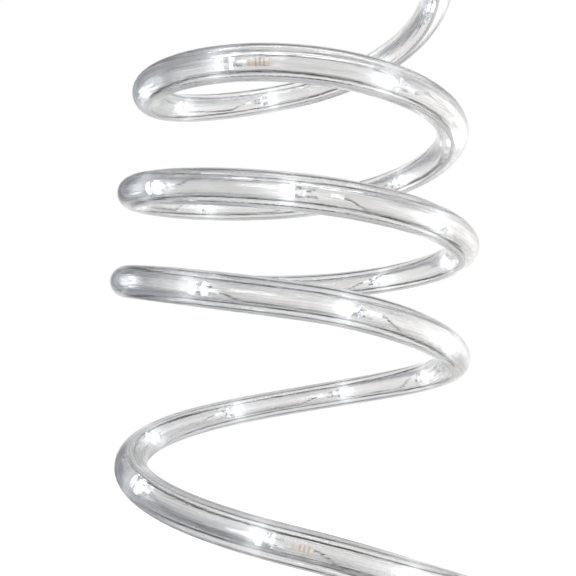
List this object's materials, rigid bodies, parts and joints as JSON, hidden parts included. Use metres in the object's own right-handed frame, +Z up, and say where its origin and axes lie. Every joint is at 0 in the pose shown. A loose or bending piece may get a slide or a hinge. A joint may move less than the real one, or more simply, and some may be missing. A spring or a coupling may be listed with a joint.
{
  "type": "led rope light",
  "caption": "Clear round LED rope light standing as a loose coil: clear tube with bullet LEDs along its bore, two bus wires and capped ends.",
  "frame": {"origin": "on the floor, at the middle of the coil's outline seen from above", "axes": "+Z up along the coil's axis, +Y away from the side that the picture was taken from, +X to the right in it"},
  "size_m": [0.1227, 0.123, 0.2341],
  "materials": {
    "clear_pvc": "clear flexible PVC, glossy, faint extrusion lines",
    "cap_pvc": "clear moulded PVC",
    "tinned_copper": "tinned stranded copper, dull grey",
    "led_lens": "clear epoxy lens, lit cool white"
  },
  "bodies": {
    "root": {"jacket": "clear_pvc", "bus_wire_upper": "tinned_copper", "bus_wire_lower": "tinned_copper", "end_cap_top": "cap_pvc", "end_cap_bottom": "cap_pvc", "led_01": "led_lens", "led_02": "led_lens", "led_03": "led_lens", "led_04": "led_lens", "led_05": "led_lens", "led_06": "led_lens", "led_07": "led_lens", "led_08": "led_lens", "led_09": "led_lens", "led_10": "led_lens", "led_11": "led_lens", "led_12": "led_lens", "led_13": "led_lens", "led_14": "led_lens", "led_15": "led_lens", "led_16": "led_lens", "led_17": "led_lens", "led_18": "led_lens", "led_19": "led_lens", "led_20": "led_lens", "led_21": "led_lens", "led_22": "led_lens", "led_23": "led_lens", "led_24": "led_lens", "led_25": "led_lens", "led_26": "led_lens", "led_27": "led_lens", "led_28": "led_lens", "led_29": "led_lens", "led_30": "led_lens", "led_31": "led_lens", "led_32": "led_lens", "led_33": "led_lens", "led_34": "led_lens", "led_35": "led_lens", "led_36": "led_lens", "led_37": "led_lens", "led_38": "led_lens", "led_39": "led_lens", "led_40": "led_lens", "led_41": "led_lens", "led_42": "led_lens", "led_43": "led_lens", "led_44": "led_lens", "led_45": "led_lens", "led_46": "led_lens", "led_47": "led_lens", "led_48": "led_lens"}
  },
  "joints": []
}
